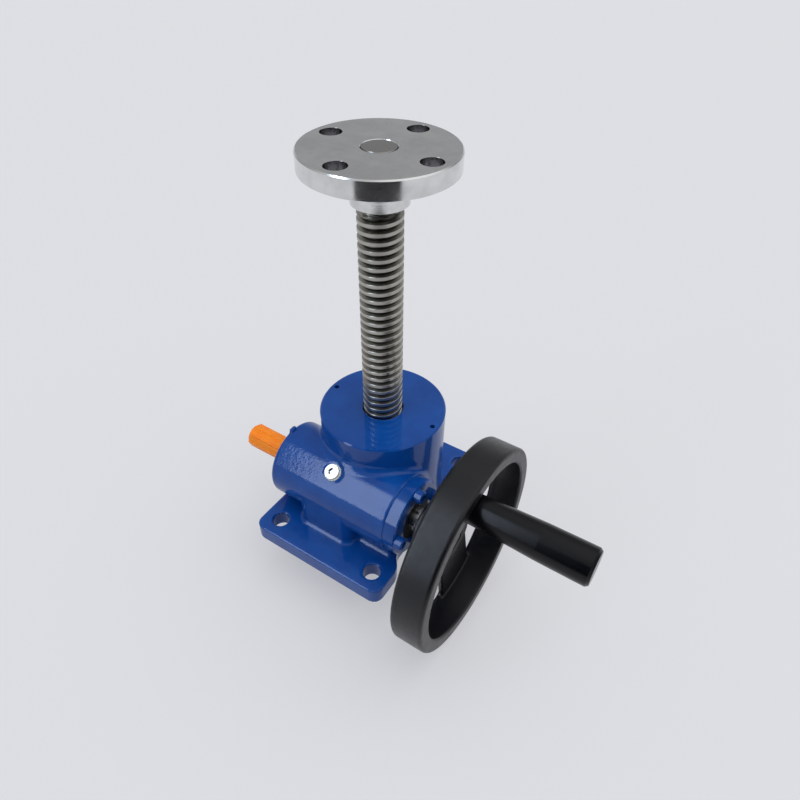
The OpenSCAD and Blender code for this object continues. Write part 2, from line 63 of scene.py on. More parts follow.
# Sizes shared with the CAD, in mm and radians. The lifting screw stands on the Z axis.
WORM_Y, WORM_Z = -42.0, 45.0  # the axis of the worm shaft and the hand wheel, along X
BOSS_R, BARREL_R, BASE_T = 49.0, 31.2, 14.0  # boss round the screw, barrel round the worm, base plate
COVER_JOINT_Z, COVER_JOINT_X = 88.5, 48.0  # faces under the bearing cover and the worm's end cover
SCREW_BORES = (30, 20), (38, 33), (40, 60)  # about the screw's axis, open upwards: radius, floor
WORM_BORES = (21, -45.5, 60), (15, -70, -40), (17.5, -70, -50.2)  # about the worm's axis: radius, two ends
FOOT_HOLES, FOOT_HOLE_R = [(x, y) for x in (-45, 45) for y in (-82.5, 52.5)], 6.75
PLUG_X, PLUG_TILT = -6, math.radians(31.5)  # the oil plug's hole in the barrel, tilted to the front
SCREW_LOW, SCREW_HIGH, STUB_TOP = 16.0, 262.0, 299.0  # ends of the thread, top of the turned end above it
PITCH, CREST_R, ROOT_R = 6.0, 15.0, 11.6  # the thread
DISC_R, DISC_LOW, HUB_R = 49.0, 287.0, 18.8  # the head flange's disc and the hub under it
BOLT_R, BOLT_HOLE_R, FLANGE_TURN = 37.5, 7, math.radians(-4.5)  # its bolt circle, holes and first hole's angle
RIM_R, RIM_BACK, RIM_FRONT = 80.0, 87.5, 112.0  # the hand wheel's rim
HANDLE_TURN, HANDLE_REACH = math.radians(100), 56.4  # where the wheel carries its handle


# ---------- meshes ----------

def mesh_of(name, points_mm, faces):
    """A mesh from an array of points in mm and a list of arrays of faces."""
    mesh = bpy.data.meshes.new(name)
    mesh.from_pydata((points_mm * MM).tolist(), [], [face for block in faces for face in block.tolist()])
    return mesh


def shade(mesh, sharp_deg):
    """Smooth shading, but for edges sharper than sharp_deg."""
    mesh.shade_smooth()
    mesh.set_sharp_from_angle(angle=math.radians(sharp_deg))


def make_piece(name, points_mm, faces, body, material, node, slot, sharp_deg):
    """A piece at the origin that rides on a body, stands for a CAD node and gets the material. slot is not used."""
    mesh = mesh_of(name, points_mm, faces)
    shell = bmesh.new()
    shell.from_mesh(mesh)
    bmesh.ops.remove_doubles(shell, verts=shell.verts, dist=1e-6)
    bmesh.ops.dissolve_degenerate(shell, edges=shell.edges, dist=1e-6)
    shell.to_mesh(mesh)
    shell.free()
    shade(mesh, sharp_deg)
    mesh.materials.append(material)
    piece = bpy.data.objects.new(name, mesh)
    bpy.context.scene.collection.objects.link(piece)
    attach(piece, body)
    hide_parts(node)
    return piece


def round_join(a, b, r):
    """Union of two distance fields with a concave fillet of radius r: the smaller distance, but where both are
    under r, r less the length of (r - a, r - b)."""
    u, v = np.maximum(r - a, 0), np.maximum(r - b, 0)
    return np.maximum(r, np.minimum(a, b)) - np.hypot(u, v)


def round_cut(a, b, r):
    """Intersection of two distance fields with a convex edge of radius r: the larger distance, but where both are
    over -r, the length of (r + a, r + b) less r."""
    u, v = np.maximum(r + a, 0), np.maximum(r + b, 0)
    return np.minimum(-r, np.maximum(a, b)) + np.hypot(u, v)


def box_plan(x, y, half_x, half_y, r):
    """Distance to a rectangle in the plane with corners of radius r: the distance to the rectangle drawn in by r
    on each side, less r."""
    qx, qy = np.abs(x) - half_x + r, np.abs(y) - half_y + r
    return np.hypot(np.maximum(qx, 0), np.maximum(qy, 0)) + np.minimum(np.maximum(qx, qy), 0) - r


def cast_skin(field, low, high, step):
    """Closed skin of a distance field, which is how a casting gets fillets where its walls meet: one point in
    every cell that the surface crosses, at the mean of its edge crossings, a quad across every crossed grid edge,
    and then three moves along the gradient onto the surface."""
    low, high = np.array(low, float), np.array(high, float)
    count = np.ceil((high - low) / step).astype(int) + 1
    axes = [low[k] + step * np.arange(count[k]) for k in range(3)]
    grid = np.meshgrid(*axes, indexing="ij")
    f = field(*grid)
    total = np.zeros((*(count - 1), 3))
    hits = np.zeros(count - 1)
    crossings = []
    # each grid edge that the surface crosses adds its crossing to the four cells round it
    for axis in range(3):
        first = [slice(None)] * 3
        second = [slice(None)] * 3
        first[axis], second[axis] = slice(0, -1), slice(1, None)
        f0, f1 = f[tuple(first)], f[tuple(second)]
        crossed = (f0 < 0) != (f1 < 0)
        where = np.stack([g[tuple(first)] for g in grid], -1)
        where[..., axis] += step * np.divide(f0, f0 - f1, out=np.zeros_like(f0), where=crossed)
        b, c = (axis + 1) % 3, (axis + 2) % 3
        for db in (0, 1):
            for dc in (0, 1):
                part = [slice(None)] * 3
                part[b] = slice(db, count[b] - 1 + db)
                part[c] = slice(dc, count[c] - 1 + dc)
                part = tuple(part)
                total += where[part] * crossed[part][..., None]
                hits += crossed[part]
        crossings.append((crossed, f0 < 0))
    index = -np.ones(count - 1, int)
    used = hits > 0
    index[used] = np.arange(used.sum())
    points = total[used] / hits[used][:, None]
    # the quad across an edge joins the points of those four cells, turned to face out of the metal
    quads = []
    for axis, (crossed, low_inside) in enumerate(crossings):
        b, c = (axis + 1) % 3, (axis + 2) % 3
        at = np.argwhere(crossed)
        at = at[(at[:, b] > 0) & (at[:, c] > 0) & (at[:, b] < count[b] - 1) & (at[:, c] < count[c] - 1)]
        corners = []
        for db, dc in ((1, 1), (0, 1), (0, 0), (1, 0)):
            cell = at.copy()
            cell[:, b] -= db
            cell[:, c] -= dc
            corners.append(index[tuple(cell.T)])
        quad = np.stack(corners, 1)
        turn = ~low_inside[tuple(at.T)]
        quad[turn] = quad[turn][:, ::-1]
        quads.append(quad)
    # where two walls meet the gradient is short, so its square is held at a quarter or more
    reach, least_steepness = 0.05, 0.25
    for _ in range(3):
        value = field(*points.T)
        slope = np.stack([field(*(points + reach * e).T) - field(*(points - reach * e).T) for e in np.eye(3)], -1)
        slope = slope / (2 * reach)
        steepness = np.maximum((slope ** 2).sum(-1), least_steepness)
        points = points - np.clip(value / steepness, -step, step)[:, None] * slope
    return points, quads


def close_ends(points, quads, low_loop, high_loop):
    """A tube about the screw's axis closed at both ends: a fan of triangles joins the loop of point numbers round
    each end, which comes back to where it starts, to a new point on the axis at the same height."""
    middles = np.array([[0, 0, points[low_loop[0], 2]], [0, 0, points[high_loop[0], 2]]])
    low_middle = np.full(len(low_loop) - 1, len(points))
    low = np.stack([low_middle, low_loop[1:], low_loop[:-1]], -1)
    high = np.stack([low_middle + 1, high_loop[:-1], high_loop[1:]], -1)
    return np.concatenate([points, middles]), [quads, low, high]


def lathe(profile, steps, ring=False):
    """Surface of revolution about the screw's axis: each (radius, height) of the profile is carried once round. The
    profile runs upwards and its ends are closed, or for a ring it is a closed loop, its outer side upwards."""
    radius, height = np.array(profile, float).T
    count = len(profile)
    a = 2 * np.pi * np.arange(steps) / steps
    points = np.stack([radius[:, None] * np.cos(a), radius[:, None] * np.sin(a),
                       np.repeat(height[:, None], steps, 1)], -1).reshape(-1, 3)
    k, i = np.meshgrid(np.arange(count if ring else count - 1), np.arange(steps), indexing="ij")
    above, after = (k + 1) % count, (i + 1) % steps
    quads = np.stack([k * steps + i, k * steps + after, above * steps + after, above * steps + i], -1).reshape(-1, 4)
    if ring:
        return points, [quads]
    loop = np.append(np.arange(steps), 0)
    return close_ends(points, quads, loop, loop + (count - 1) * steps)


def drill(piece, tools, sharp_deg):
    """The piece less the tools, each a closed (points in mm, faces)."""
    for points_mm, faces in tools:
        tool = bpy.data.objects.new("tool", mesh_of("tool", points_mm, faces))
        bpy.context.scene.collection.objects.link(tool)
        cut = piece.modifiers.new("hole", "BOOLEAN")
        cut.operation, cut.solver, cut.object = "DIFFERENCE", "EXACT", tool
        bpy.context.view_layer.update()
        result = bpy.data.meshes.new_from_object(piece.evaluated_get(bpy.context.evaluated_depsgraph_get()))
        piece.modifiers.clear()
        piece.data = result
        bpy.data.objects.remove(tool)
    shade(piece.data, sharp_deg)


# ---------- materials ----------

def linear(hex_colour):
    """sRGB hex to linear RGBA: a channel below 0.04045 is divided by 12.92, else ((c + 0.055) / 1.055) to the
    power 2.4."""
    c = np.array([int(hex_colour[i:i + 2], 16) for i in (1, 3, 5)]) / 255
    c = np.where(c < 0.04045, c / 12.92, ((c + 0.055) / 1.055) ** 2.4)
    return (*c.tolist(), 1.0)


def add_node(tree, kind, inputs, stops=(), **settings):
    """A shader node with its settings, a colour ramp's (position, hex colour) stops, and its inputs, by name or
    number, set to values or linked to other nodes' outputs. Gives its outputs."""
    node = tree.nodes.new("ShaderNode" + kind)
    for key, value in settings.items():
        setattr(node, key, value)
    for i, (position, colour) in enumerate(stops):
        element = node.color_ramp.elements[i] if i < 2 else node.color_ramp.elements.new(position)
        element.position, element.color = position, linear(colour)
    for key, value in inputs.items():
        if isinstance(value, bpy.types.NodeSocket):
            tree.links.new(value, node.inputs[key])
        else:
            node.inputs[key].default_value = value
    return node.outputs


def make_material(name, recipe, **choices):
    """A material: the recipe gets its node tree and Object coordinates and gives the Principled shader's inputs."""
    material = bpy.data.materials.new(name)
    material.use_nodes = True
    tree = material.node_tree
    tree.nodes.clear()
    place = add_node(tree, "TexCoord", {})["Object"]
    shader = add_node(tree, "BsdfPrincipled", recipe(tree, place, **choices))
    add_node(tree, "OutputMaterial", {"Surface": shader["BSDF"]})
    return material


def about_axis(tree, place):
    """The place flattened onto the floor, its distance from the screw's axis, and its height."""
    parts = add_node(tree, "SeparateXYZ", {"Vector": place})
    flat = add_node(tree, "CombineXYZ", {"X": parts["X"], "Y": parts["Y"]})["Vector"]
    return flat, add_node(tree, "VectorMath", {0: flat}, operation="LENGTH")["Value"], parts["Z"]


def enamel(tree, place, peel_mm, grain_mm):
    """Two-coat gloss alkyd enamel. The eye gets a deep blue under a clear wet gloss: the colour coat itself hardly
    shines, and the top coat mirrors the room, softened by orange peel 3 mm across. On the sand casting the grain of
    the iron, 0.5 mm across in truth and drawn 1.3 mm so that it shows, frays the edges of the reflections."""
    drift = add_node(tree, "TexNoise", {"Vector": place, "Scale": 1 / (18 * MM), "Detail": 3.0})["Fac"]
    blue = add_node(tree, "ValToRGB", {"Fac": drift}, [(0.3, "#063f8c"), (0.7, "#0b4a99")])["Color"]
    peel = add_node(tree, "TexNoise", {"Vector": place, "Scale": 1 / (3 * MM), "Detail": 1.0})["Fac"]
    grain = add_node(tree, "TexNoise", {"Vector": place, "Scale": 1 / (1.3 * MM), "Detail": 2.0})["Fac"]
    soft = add_node(tree, "Bump", {"Distance": peel_mm * MM, "Height": peel})["Normal"]
    rough = add_node(tree, "Bump", {"Distance": grain_mm * MM, "Height": grain, "Normal": soft})["Normal"]
    return {"Base Color": blue, "Roughness": 0.3, "IOR": 1.45, "Specular IOR Level": 0.05, "Coat Weight": 0.6,
            "Coat Roughness": 0.04, "Coat IOR": 1.5, "Coat Normal": rough, "Normal": rough}


def stoved_black(tree, place):
    """Stoved black coating on cast aluminium. The eye gets a satin near-black with a slight blue in it, faint
    scuffs, and a fine 0.7 mm texture that spreads the reflections into broad grey sheens."""
    drift = add_node(tree, "TexNoise", {"Vector": place, "Scale": 1 / (6 * MM), "Detail": 3.0})["Fac"]
    black = add_node(tree, "ValToRGB", {"Fac": drift}, [(0.3, "#07080d"), (0.7, "#0c0d13")])["Color"]
    scuff = add_node(tree, "TexNoise", {"Vector": place, "Scale": 1 / (5 * MM), "Detail": 4.0})["Fac"]
    rough = add_node(tree, "MapRange", {"Value": scuff, "From Min": 0.3, "From Max": 0.7, "To Min": 0.32,
                                        "To Max": 0.4})["Result"]
    grain = add_node(tree, "TexNoise", {"Vector": place, "Scale": 1 / (0.7 * MM), "Detail": 2.0})["Fac"]
    fine = add_node(tree, "Bump", {"Distance": 0.015 * MM, "Height": grain})["Normal"]
    return {"Base Color": black, "Roughness": rough, "IOR": 1.5, "Specular IOR Level": 0.4, "Normal": fine}


def moulded_phenolic(tree, place):
    """Compression-moulded and buffed phenolic. The eye gets a deep black with clear, soft-edged reflections that
    waver a little, from the 9 mm waves that buffing leaves."""
    drift = add_node(tree, "TexNoise", {"Vector": place, "Scale": 1 / (10 * MM), "Detail": 2.0})["Fac"]
    black = add_node(tree, "ValToRGB", {"Fac": drift}, [(0.3, "#040509"), (0.7, "#07080d")])["Color"]
    wave = add_node(tree, "TexNoise", {"Vector": place, "Scale": 1 / (9 * MM), "Detail": 1.0})["Fac"]
    wavy = add_node(tree, "Bump", {"Distance": 0.03 * MM, "Height": wave})["Normal"]
    return {"Base Color": black, "Roughness": 0.22, "IOR": 1.5, "Specular IOR Level": 0.25, "Normal": wavy}


def turned_steel(tree, place):
    """Carbon steel faced on a lathe. The eye gets bright metal that mirrors the room in bands, with cloudy
    smears of oil, and the bores of the bolt holes are painted a darker steel as their shade. The feed marks, 0.4 mm
    apart in truth, are drawn 1 mm apart so that they just show."""
    flat, radius, height = about_axis(tree, place)
    along = add_node(tree, "Math", {0: radius, 1: height}, operation="ADD")["Value"]
    feed = add_node(tree, "TexNoise", {"W": along, "Scale": 1 / (1.0 * MM), "Detail": 2.0},
                    noise_dimensions="1D")["Fac"]
    cloud = add_node(tree, "TexNoise", {"Vector": place, "Scale": 1 / (16 * MM), "Detail": 4.0,
                                        "Roughness": 0.6})["Fac"]
    # turned back to the X and Y axes and folded into one quarter, the bolt holes fall on two places
    turned = add_node(tree, "VectorRotate", {"Vector": flat, "Angle": -FLANGE_TURN},
                      rotation_type="Z_AXIS")["Vector"]
    quarter = add_node(tree, "VectorMath", {0: turned}, operation="ABSOLUTE")["Vector"]
    near = [add_node(tree, "VectorMath", {0: quarter, 1: hole}, operation="DISTANCE")["Value"]
            for hole in ((BOLT_R * MM, 0, 0), (0, BOLT_R * MM, 0))]
    nearest = add_node(tree, "Math", {0: near[0], 1: near[1]}, operation="MINIMUM")["Value"]
    # painted shade: inside the bolt holes the steel gets the ramp's darkest colour, for the shade in the bores
    painted_bore_shade = add_node(tree, "MapRange", {"Value": nearest, "From Min": (BOLT_HOLE_R + 0.15) * MM,
                                          "From Max": (BOLT_HOLE_R + 0.05) * MM, "To Max": 1.0})["Result"]
    tone = add_node(tree, "Math", {0: cloud, 1: painted_bore_shade}, operation="SUBTRACT", use_clamp=True)["Value"]
    steel = add_node(tree, "ValToRGB", {"Fac": tone}, [(0.0, "#a2a2a4"), (0.02, "#cfcfce"), (0.35, "#cfcfce"),
                                                      (0.65, "#e2e2e1")])["Color"]
    rough = add_node(tree, "MapRange", {"Value": cloud, "From Min": 0.35, "From Max": 0.65, "To Min": 0.2,
                                        "To Max": 0.13})["Result"]
    lines = add_node(tree, "Bump", {"Distance": 0.004 * MM, "Height": feed})["Normal"]
    return {"Base Color": steel, "Metallic": 1.0, "Roughness": rough, "Normal": lines}


def thread_steel(tree, place):
    """Whirled trapezoidal thread. The eye gets pale and dark bands: crests pale grey, and flanks and root painted a
    dark warm grey for the shade in the grooves, with the pale turned end above the thread."""
    _, radius, height = about_axis(tree, place)
    crest = add_node(tree, "MapRange", {"Value": radius, "From Min": 11.7 * MM, "From Max": 13.4 * MM,
                                        "To Max": 0.6})["Result"]
    end = add_node(tree, "MapRange", {"Value": height, "From Min": (SCREW_HIGH + 1) * MM,
                                      "From Max": (SCREW_HIGH + 2) * MM})["Result"]
    # painted shade: the thread's root, and its flanks towards it, are coloured dark warm grey; crests and turned end
    # pale
    outside_groove_shade = add_node(tree, "Math", {0: crest, 1: end}, operation="MAXIMUM")["Value"]
    speck = add_node(tree, "TexNoise", {"Vector": place, "Scale": 1 / (2 * MM), "Detail": 4.0})["Fac"]
    spotted = add_node(tree, "Math", {0: speck, 1: 0.16, 2: outside_groove_shade}, operation="MULTIPLY_ADD")["Value"]
    steel = add_node(tree, "ValToRGB", {"Fac": spotted},
                     [(0.05, "#4f4e4a"), (0.65, "#aaa8a1"), (0.8, "#b8b6b0"), (1.0, "#9a9996")])["Color"]
    rough = add_node(tree, "MapRange", {"Value": spotted, "From Min": 0.1, "From Max": 1.0, "To Min": 0.38,
                                        "To Max": 0.24})["Result"]
    fine = add_node(tree, "Bump", {"Distance": 0.01 * MM, "Height": speck})["Normal"]
    return {"Base Color": steel, "Metallic": 1.0, "Roughness": rough, "Normal": fine}


def worked_metal(tree, place, dark, light, roughness):
    """Machined, ground or plated metal: an even sheen with a slight drift of tone. The grain, under 0.1 mm in
    truth, is drawn 0.6 mm across so that it shows."""
    drift = add_node(tree, "TexNoise", {"Vector": place, "Scale": 1 / (5 * MM), "Detail": 3.0})["Fac"]
    tone = add_node(tree, "ValToRGB", {"Fac": drift}, [(0.3, dark), (0.7, light)])["Color"]
    grain = add_node(tree, "TexNoise", {"Vector": place, "Scale": 1 / (0.6 * MM), "Detail": 2.0})["Fac"]
    fine = add_node(tree, "Bump", {"Distance": 0.008 * MM, "Height": grain})["Normal"]
    return {"Base Color": tone, "Metallic": 1.0, "Roughness": roughness, "Normal": fine}


def moulded_plastic(tree, place, dark, light, roughness, glow=0.0):
    """Moulded plastic or rubber: an even colour with a slight drift. The skin that the mould leaves, 0.3 mm across
    in truth, is drawn 1.2 mm so that it shows. glow is the share of light that passes into thin walls and back."""
    drift = add_node(tree, "TexNoise", {"Vector": place, "Scale": 1 / (8 * MM), "Detail": 2.0})["Fac"]
    tone = add_node(tree, "ValToRGB", {"Fac": drift}, [(0.3, dark), (0.7, light)])["Color"]
    skin = add_node(tree, "TexNoise", {"Vector": place, "Scale": 1 / (1.2 * MM), "Detail": 2.0})["Fac"]
    fine = add_node(tree, "Bump", {"Distance": 0.02 * MM, "Height": skin})["Normal"]
    return {"Base Color": tone, "Roughness": roughness, "IOR": 1.5, "Specular IOR Level": 0.3,
            "Subsurface Weight": glow, "Subsurface Radius": (0.004, 0.002, 0.001), "Subsurface Scale": 1.0,
            "Normal": fine}


cast_enamel = make_material("gloss_enamel_on_sand_cast_iron", enamel, peel_mm=0.06, grain_mm=0.05)
wheel_black = make_material("stoved_black_on_cast_aluminium", stoved_black)
screw_steel = make_material("thread_steel_with_painted_groove_shade", thread_steel)
finish_of_slot = {
    # the enamel's reflections keep sharp edges where the iron under it was turned smooth
    "blue_enamel": make_material("gloss_enamel_on_turned_iron", enamel, peel_mm=0.015, grain_mm=0.0),
    "black_enamel": wheel_black,
    "black_plastic": make_material("polished_black_phenolic", moulded_phenolic),
    # polyethylene lets light in: the thin cap seems to glow, and its shine is waxy
    "orange_plastic": make_material("orange_polyethylene", moulded_plastic, dark="#ff8408", light="#ff9210",
                                    roughness=0.36, glow=0.1),
    # nylon is milky, with soft shadows in its corners
    "white_plastic": make_material("white_nylon", moulded_plastic, dark="#dcdcd6", light="#e8e8e3",
                                   roughness=0.35, glow=0.1),
    "turned_steel": make_material("lathe_turned_steel", turned_steel),
    "screw_steel": screw_steel,
    # grinding leaves lines too fine to see, which blur what the steel mirrors
    "ground_steel": make_material("ground_steel", worked_metal, dark="#b4b4b2", light="#c6c6c4", roughness=0.26),
    # zinc is a paler, softer grey than bare steel, and the plate rounds every highlight
    "plated_steel": make_material("bright_zinc_plate", worked_metal, dark="#b0b0ae", light="#c4c4c0",
                                  roughness=0.28),
    # black oxide is a thin dark film: little metal shows through, so it reads as dark grey with a dull sheen
    "black_steel": make_material("black_oxide_steel", worked_metal, dark="#26262a", light="#36363b",
                                 roughness=0.36),
    # phosphate crystals scatter light: a mid grey with a broad, weak sheen
    "spring_steel": make_material("phosphated_spring_steel", worked_metal, dark="#56565a", light="#6a6a6d",
                                  roughness=0.42),
    # balls and races are lapped until they mirror with small sharp highlights
    "bearing_steel": make_material("polished_bearing_steel", worked_metal, dark="#c4c4c4", light="#d4d4d4",
                                   roughness=0.12),
    # pressed brass sheet is a warm yellow, a little blurred by the drawing die
    "brass_cage": make_material("pressed_brass", worked_metal, dark="#b08c48", light="#c69f56", roughness=0.34),
    # tin bronze is browner than brass, with the even sheen that a cutter leaves
    "bronze": make_material("machined_tin_bronze", worked_metal, dark="#a07a42", light="#b68e50",
                            roughness=0.32),
    # nitrile rubber is near black and matt, so that it reads as a soft dark line round the metal
    "seal_rubber": make_material("moulded_nitrile_rubber", moulded_plastic, dark="#101011", light="#18181a",
                                 roughness=0.6),
}
for part in frame["record"]["subparts"]:
    kept = frame["nodes"][part["node"]]
    kept.data.materials.clear()
    kept.data.materials.append(finish_of_slot[part["material_slot"]])


# ---------- housing casting ----------

def side_relief(outwards, y, low_y):
    """Strip beyond 50.5 mm from the middle, from low_y to y 24, with rounded ends at 45 degrees."""
    past, diagonal = outwards - 50.5, math.sqrt(0.5)
    return round_cut(round_cut(-past, (low_y - past - y) * diagonal, 5), (y - 24 - past) * diagonal, 5)


def base_plate(x, y, z):
    """Rounded rectangle 120 x 165 mm less a relief on each side, 14 mm thick, with rounded top edges."""
    plan = box_plan(x, y + 15, 60, 82.5, 8)
    plan = round_cut(round_cut(plan, -side_relief(x, y, -59), 4), -side_relief(-x, y, -35.5), 4)
    return round_cut(round_cut(plan, z - BASE_T, 0.9), -z, 0.8)


def housing_field(x, y, z):
    """Boss and barrel, with a foot block under the middle and a narrower neck under the cover end, joined with
    fillets and set on the base plate, less the bores and holes."""
    # the walls start inside the base plate. That is so near its underside that the fillet at their foot swells it by
    # up to 0.75 mm under them; from 6 mm up it would stay flat
    rooted_z = 2
    r_screw, r_worm = np.hypot(x, y), np.hypot(y - WORM_Y, z - WORM_Z)
    boss = np.maximum(r_screw - BOSS_R, np.maximum(z - COVER_JOINT_Z, rooted_z - z))
    barrel = round_cut(round_cut(r_worm - BARREL_R, -59 - x, 2.4), x - COVER_JOINT_X, 0.8)
    # a small upright lug on top of the barrel's spare end
    lug = round_cut(np.abs(y - WORM_Y + 1) - 3, np.abs(x + 57.4) - 1.6, 0.8)
    lug = round_cut(lug, np.abs(z - WORM_Z - 29) - 4.4, 0.8)
    barrel = round_join(barrel, lug, 1.5)
    below_shaft = np.maximum(z - WORM_Z, rooted_z - z)
    block = np.maximum(box_plan(x + 8, y - WORM_Y, 26, BARREL_R, 9), below_shaft)
    neck = np.maximum(np.abs(x - 24) - (COVER_JOINT_X - 24), np.maximum(np.abs(y + 40) - 23, below_shaft))
    walls = round_join(round_join(np.minimum(barrel, block), neck, 3), boss, 6)
    body = round_join(walls, base_plate(x, y, z), 3.5)
    # the screw's clearance through the underside, and then the bores for bearings, nut wheel and worm
    cuts = np.maximum(r_screw - 22, z - 21)
    for radius, low in SCREW_BORES:
        cuts = np.minimum(cuts, np.maximum(r_screw - radius, low - z))
    for radius, low, high in WORM_BORES:
        cuts = np.minimum(cuts, np.maximum(r_worm - radius, np.maximum(low - x, x - high)))
    body = round_cut(body, -cuts, 0.6)
    for hole_x, hole_y in FOOT_HOLES:
        body = round_cut(body, FOOT_HOLE_R - np.hypot(x - hole_x, y - hole_y), 0.7)
    # the oil plug's hole, in a flat seat 16 mm across
    off = (y - WORM_Y) * math.cos(PLUG_TILT) + (z - WORM_Z) * math.sin(PLUG_TILT)
    out = -(y - WORM_Y) * math.sin(PLUG_TILT) + (z - WORM_Z) * math.cos(PLUG_TILT)
    r_plug = np.hypot(x - PLUG_X, off)
    body = round_cut(body, -np.maximum(r_plug - 8, BARREL_R - 0.5 - out), 0.5)
    body = np.maximum(body, -np.maximum(r_plug - 5, 18 - out))
    # the hole for the cover's lock screw, at the back
    return np.maximum(body, -np.maximum(np.hypot(x, z - 80) - 3, 30 - y))


points, faces = cast_skin(housing_field, (-62, -102, -3), (64, 72, 93), step=1.15)
# the rim under the bearing cover stays a true edge
r = np.hypot(points[:, 0], points[:, 1])
rim = (np.abs(r - BOSS_R) < 0.8) & (np.abs(points[:, 2] - COVER_JOINT_Z) < 0.8)
points[rim, :2] *= (BOSS_R / r[rim])[:, None]
points[rim, 2] = COVER_JOINT_Z
make_piece("housing_casting", points, faces, "housing", cast_enamel, "housing", "blue_enamel", sharp_deg=50)


# ---------- hand wheel casting ----------

def wheel_field(x, y, z):
    """Rim with a slight draft inside, two opposite arms as a thin plate, hub with a recess for the end screw, and
    handle boss, joined with small fillets, less the bores and the keyway."""
    u, v = y - WORM_Y, z - WORM_Z
    r = np.hypot(u, v)
    inner = 68 + (x - RIM_BACK) / (RIM_FRONT - RIM_BACK)
    middle, half = (RIM_FRONT + RIM_BACK) / 2, (RIM_FRONT - RIM_BACK) / 2
    rim = round_cut(round_cut(r - RIM_R, np.abs(x - middle) - half, 2.2), inner - r, 1.2)
    # the arms are 34 mm wide at the hub and 40 mm at the rim, where they spread into it, and 4.5 mm thick
    reach = u * math.cos(HANDLE_TURN) + v * math.sin(HANDLE_TURN)
    across = -u * math.sin(HANDLE_TURN) + v * math.cos(HANDLE_TURN)
    arm_half = np.interp(np.abs(reach), [0, 45, 74.5], [17, 19, 20])
    plan = round_join(np.maximum(np.abs(across) - arm_half, r - 75), np.abs(r - 72) - 3.5, 5)
    arms = round_cut(plan, np.abs(x - RIM_BACK - 1.05) - 2.25, 0.9)
    hub = round_cut(r - 21, np.abs(x - 79.5) - 13, 1.0)
    boss = round_cut(np.hypot(reach - HANDLE_REACH, across) - 13.5, np.abs(x - 90.65) - 4.35, 1.2)
    body = round_join(round_join(round_join(arms, rim, 1.2), hub, 1.5), boss, 1.5)
    # the 16 mm bore, the recess, the 5 mm keyway and the spindle's 8 mm hole
    body = round_cut(round_cut(body, 8.01 - r, 0.5), -np.maximum(r - 12.5, 86.5 - x), 0.5)
    body = np.maximum(body, -np.maximum(np.abs(u) - 2.52, np.maximum(v - 10.3, -v)))
    return round_cut(body, 4.02 - np.hypot(reach - HANDLE_REACH, across), 0.4)


points, faces = cast_skin(wheel_field, (63, WORM_Y - 83, WORM_Z - 83), (115, WORM_Y + 83, WORM_Z + 83), step=1.1)
make_piece("handwheel_casting", points, faces, "worm", wheel_black, "handwheel", "black_enamel", sharp_deg=50)


# ---------- lifting screw ----------

def lifting_thread():
    """Right-hand helix: the profile of one pitch (crest, flank, root, flank, with broken crest edges) is carried
    round the axis, rising one pitch a turn, and clipped to the ends, where its depth fades out."""
    steps, fade_length = 72, 1.2
    profile = np.array([  # share of a pitch, radius
        [0.00, CREST_R], [0.37, CREST_R], [0.40, CREST_R - 0.2], [0.51, ROOT_R + 0.4], [0.55, ROOT_R],
        [0.82, ROOT_R], [0.86, ROOT_R + 0.4], [0.97, CREST_R - 0.2]])
    per = len(profile)
    turns = int((SCREW_HIGH - SCREW_LOW) / PITCH) + 2
    j = np.arange(turns * per + 1)
    height = SCREW_LOW - PITCH + PITCH * (j // per + profile[j % per, 0])
    a = 2 * np.pi * np.arange(steps + 1) / steps
    z = height[None, :] + PITCH * a[:, None] / (2 * np.pi)
    fade = np.clip((SCREW_HIGH - 0.5 - z) / fade_length, 0, 1) * np.clip((z - SCREW_LOW - 0.5) / fade_length, 0, 1)
    r = ROOT_R + (profile[j % per, 1][None, :] - ROOT_R) * fade
    z = np.clip(z, SCREW_LOW, SCREW_HIGH)
    points = np.stack([r * np.cos(a)[:, None], r * np.sin(a)[:, None], z], -1).reshape(-1, 3)
    rows = len(j)
    i, k = np.meshgrid(np.arange(steps), np.arange(rows - 1), indexing="ij")
    quads = np.stack([i * rows + k, (i + 1) * rows + k, (i + 1) * rows + k + 1, i * rows + k + 1], -1)
    low_loop = np.arange(steps + 1) * rows
    return close_ends(points, quads.reshape(-1, 4), low_loop, low_loop + rows - 1)


# the plain lower end carries the stop ring
journal = lathe([(10.5, 2), (11.5, 3), (11.5, SCREW_LOW + 1)], steps=72)
# a groove is left round the top of the turned end, where the flange's bore is broken
stub = lathe([(11, SCREW_HIGH - 1), (11, STUB_TOP - 2.2), (10.5, STUB_TOP - 2), (10.5, STUB_TOP - 0.3),
              (10.2, STUB_TOP)], steps=72)
shells = [lifting_thread(), journal, stub]
points = np.concatenate([shell_points for shell_points, _ in shells])
starts = np.cumsum([0] + [len(shell_points) for shell_points, _ in shells])
faces = [block + start for (_, blocks), start in zip(shells, starts) for block in blocks]
make_piece("lifting_screw_thread", points, faces, "lift", screw_steel, "lifting_screw", "screw_steel", sharp_deg=25)


# ---------- head flange ----------

# disc 98 x 12 mm on a hub that is chamfered down to the thread, with a fillet of 3 mm between them
fillet = np.linspace(0, math.pi / 2, 7)
outside = [(14.6, SCREW_HIGH + 0.6), (HUB_R, SCREW_HIGH + 4.1)]
outside += [(HUB_R + 3 - 3 * math.cos(t), DISC_LOW - 3 + 3 * math.sin(t)) for t in fillet]
outside += [(DISC_R - 0.4, DISC_LOW), (DISC_R, DISC_LOW + 0.4), (DISC_R, STUB_TOP - 0.8), (DISC_R - 0.8, STUB_TOP)]
inside = [(11.6, STUB_TOP), (11.02, STUB_TOP - 0.6), (11.02, SCREW_HIGH + 0.6)]
flange = make_piece("head_flange_turned", *lathe(outside + inside, steps=144, ring=True), "lift",
                    finish_of_slot["turned_steel"], "head_flange", "turned_steel", sharp_deg=25)

